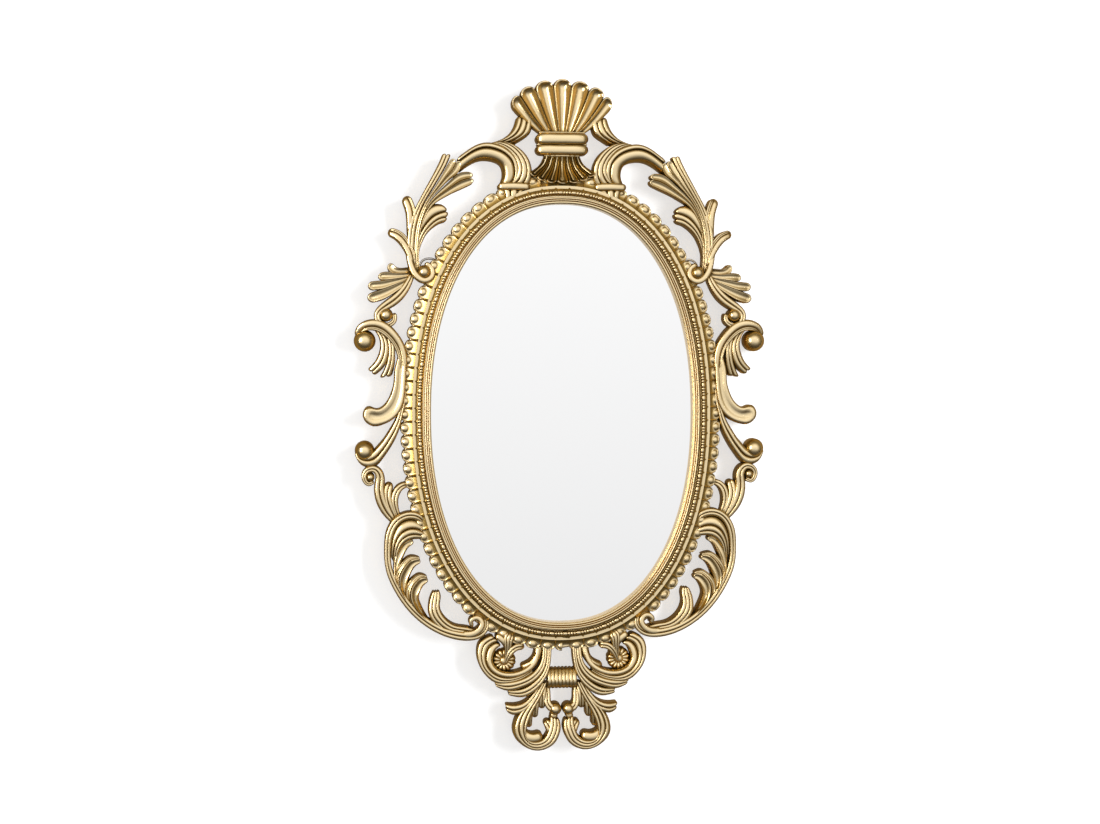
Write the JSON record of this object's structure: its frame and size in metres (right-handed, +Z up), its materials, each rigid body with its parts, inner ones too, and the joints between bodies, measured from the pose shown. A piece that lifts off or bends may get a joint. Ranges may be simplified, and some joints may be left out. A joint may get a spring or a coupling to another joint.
{
  "type": "oval wall mirror",
  "caption": "Oval wall mirror in a pierced baroque frame: shell crest, acanthus scrolls, egg moulding with a bead row and a lyre pendant, hung by two rings on its back.",
  "frame": {"origin": "middle of the backing board's rear face, on the line of symmetry and level with the widest part of the glass", "axes": "+X to the viewer's right, +Y into the wall, +Z up to the shell crest; the glass faces -Y"},
  "size_m": [0.4644, 0.0383, 0.7544],
  "materials": {
    "gilding": "satin gold metallic lacquer on moulded resin",
    "slip_gilding": "brighter satin gold metallic lacquer",
    "silvered_glass": "flat silvered float glass",
    "cardboard": "plain corrugated sheet",
    "hardboard": "smooth brown pressed fibre board",
    "zinc": "bright zinc plate",
    "rubber": "matt black"
  },
  "bodies": {
    "root": {"crest_collar": "gilding", "crest_shell": "gilding", "crest_skirt": "gilding", "side_scroll_right": "gilding", "side_scroll_left": "gilding", "crest_scroll_right": "gilding", "crest_scroll_left": "gilding", "upper_spray_right": "gilding", "upper_spray_left": "gilding", "side_palmette_right": "gilding", "side_palmette_left": "gilding", "lower_acanthus_right": "gilding", "lower_acanthus_left": "gilding", "side_volute_right": "gilding", "side_volute_left": "gilding", "plume_right": "gilding", "plume_left": "gilding", "rosette_right": "gilding", "rosette_left": "gilding", "lyre_bar": "gilding", "pendant_leaf_right": "gilding", "pendant_leaf_left": "gilding", "frame_rail": "gilding", "glass_slip": "slip_gilding", "mirror_glass": "silvered_glass", "packing_sheet": "cardboard", "backing_board": "hardboard", "board_screw_1": "zinc", "board_screw_2": "zinc", "board_screw_3": "zinc", "board_screw_4": "zinc", "board_screw_5": "zinc", "board_screw_6": "zinc", "board_screw_7": "zinc", "board_screw_8": "zinc", "hanger_strap_right": "zinc", "hanger_screw_1_right": "zinc", "hanger_screw_2_right": "zinc", "bumper_right": "rubber", "hanger_strap_left": "zinc", "hanger_screw_1_left": "zinc", "hanger_screw_2_left": "zinc", "bumper_left": "rubber"},
    "ring_right": {"hanger_ring_right": "zinc"},
    "ring_left": {"hanger_ring_left": "zinc"}
  },
  "joints": [
    {"name": "ring_right_swing", "type": "hinge", "parent": "root", "child": "ring_right", "pos_m": [0.14727, 0.0031, 0.16], "axis": [-1, 0, 0], "range_deg": [0, 175]},
    {"name": "ring_left_swing", "type": "hinge", "parent": "root", "child": "ring_left", "pos_m": [-0.14727, 0.0031, 0.16], "axis": [-1, 0, 0], "range_deg": [0, 175]}
  ]
}
